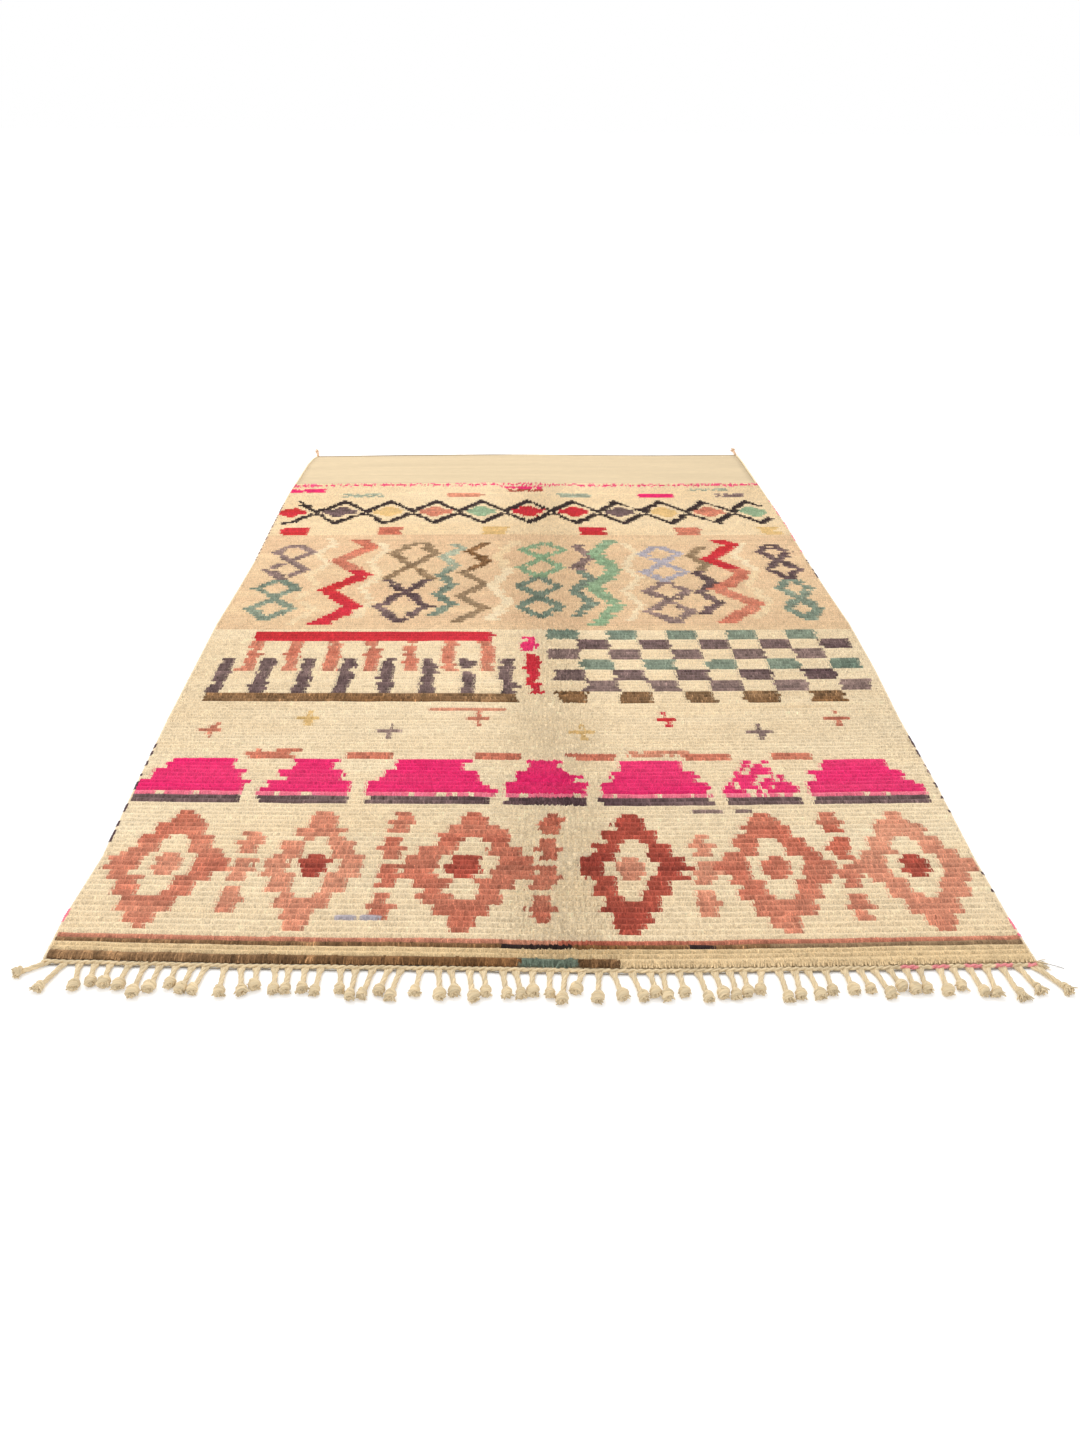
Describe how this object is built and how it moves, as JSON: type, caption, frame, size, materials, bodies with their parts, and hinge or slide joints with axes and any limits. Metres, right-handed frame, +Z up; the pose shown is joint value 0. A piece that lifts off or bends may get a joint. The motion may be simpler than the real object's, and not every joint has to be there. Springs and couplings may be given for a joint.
{
  "type": "moroccan rug",
  "caption": "Hand-knotted wool rug lying flat, with a ribbed pile, a plain flat-woven end, bound edges and knotted warp tassels at the other end.",
  "frame": {"origin": "on the floor, under the middle of the cloth", "axes": "+Z up out of the pile, +Y along the rug's length from the tasselled end to the flat-woven end, +X to the right of someone who looks along +Y"},
  "size_m": [1.8796, 3.0298, 0.0181],
  "materials": {
    "wool_pile": "matt knotted wool pile",
    "selvedge_wool": "matt overcast wool yarn",
    "far_cord_wool": "matt twisted wool cord",
    "warp_wool": "matt plied warp yarn",
    "tie_wool": "matt knotted yarn"
  },
  "bodies": {
    "root": {"woven_rug": "wool_pile", "selvedge_left": "selvedge_wool", "selvedge_right": "selvedge_wool", "far_edge_cord": "far_cord_wool", "near_fringe": "warp_wool", "corner_tie_left": "tie_wool", "corner_tie_right": "tie_wool"}
  },
  "joints": []
}
